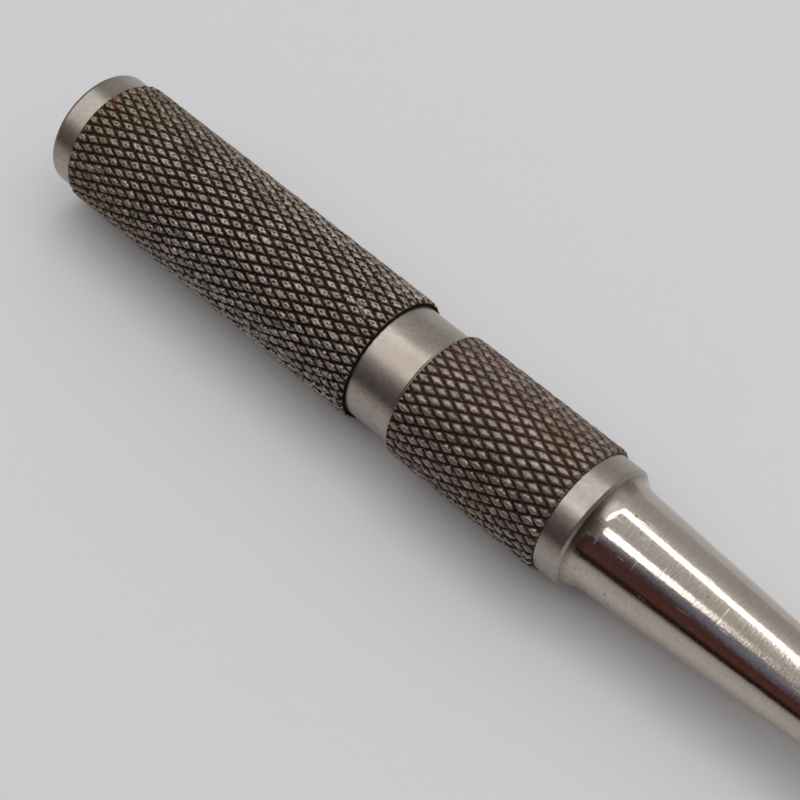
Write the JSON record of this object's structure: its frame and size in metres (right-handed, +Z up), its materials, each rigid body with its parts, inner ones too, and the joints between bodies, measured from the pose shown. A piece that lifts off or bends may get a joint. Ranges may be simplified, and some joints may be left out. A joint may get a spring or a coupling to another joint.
{
  "type": "pocket scriber",
  "caption": "Round pocket scriber with a knurled handle, a knurled screw chuck with a polished taper, and a slim hardened point held in a split collet.",
  "frame": {"origin": "centre of the bounding box in plan, on the floor that the knurls lie on", "axes": "+X along the tool's axis towards the point, +Z up"},
  "size_m": [0.108, 0.0094, 0.0095],
  "materials": {
    "knurled_nickel": "nickel-plated diamond knurl with dark grime in its grooves",
    "satin_nickel": "fine-turned satin nickel plate",
    "polished_nickel": "polished nickel plate with fine scratches",
    "collet_steel": "turned bright steel",
    "point_steel": "hardened steel, ground along the taper",
    "spring_steel": "drawn spring wire",
    "pin_steel": "plain steel pin"
  },
  "bodies": {
    "handle": {"handle_tube": "knurled_nickel", "end_plug": "satin_nickel", "neck_spindle": "satin_nickel", "key_pin": "pin_steel", "collet_spring": "spring_steel"},
    "collet": {"collet": "collet_steel"},
    "nose": {"chuck_nose": "polished_nickel"},
    "point": {"scriber_point": "point_steel"}
  },
  "joints": [
    {"name": "collet_travel", "type": "slide", "parent": "handle", "child": "collet", "axis": [1, 0, 0], "range_m": [0, 0.001], "deforming": ["collet_spring"]},
    {"name": "nose_turn", "type": "hinge", "parent": "collet", "child": "nose", "pos_m": [0, 0, 0.00475], "axis": [1, 0, 0], "range_deg": [0, 720]},
    {"name": "point_slide", "type": "slide", "parent": "collet", "child": "point", "axis": [1, 0, 0], "range_m": [-0.031, 0.015]}
  ],
  "couplings": [
    {"joint": "nose_turn", "follows": "collet_travel", "rad_per_m": 12566}
  ]
}
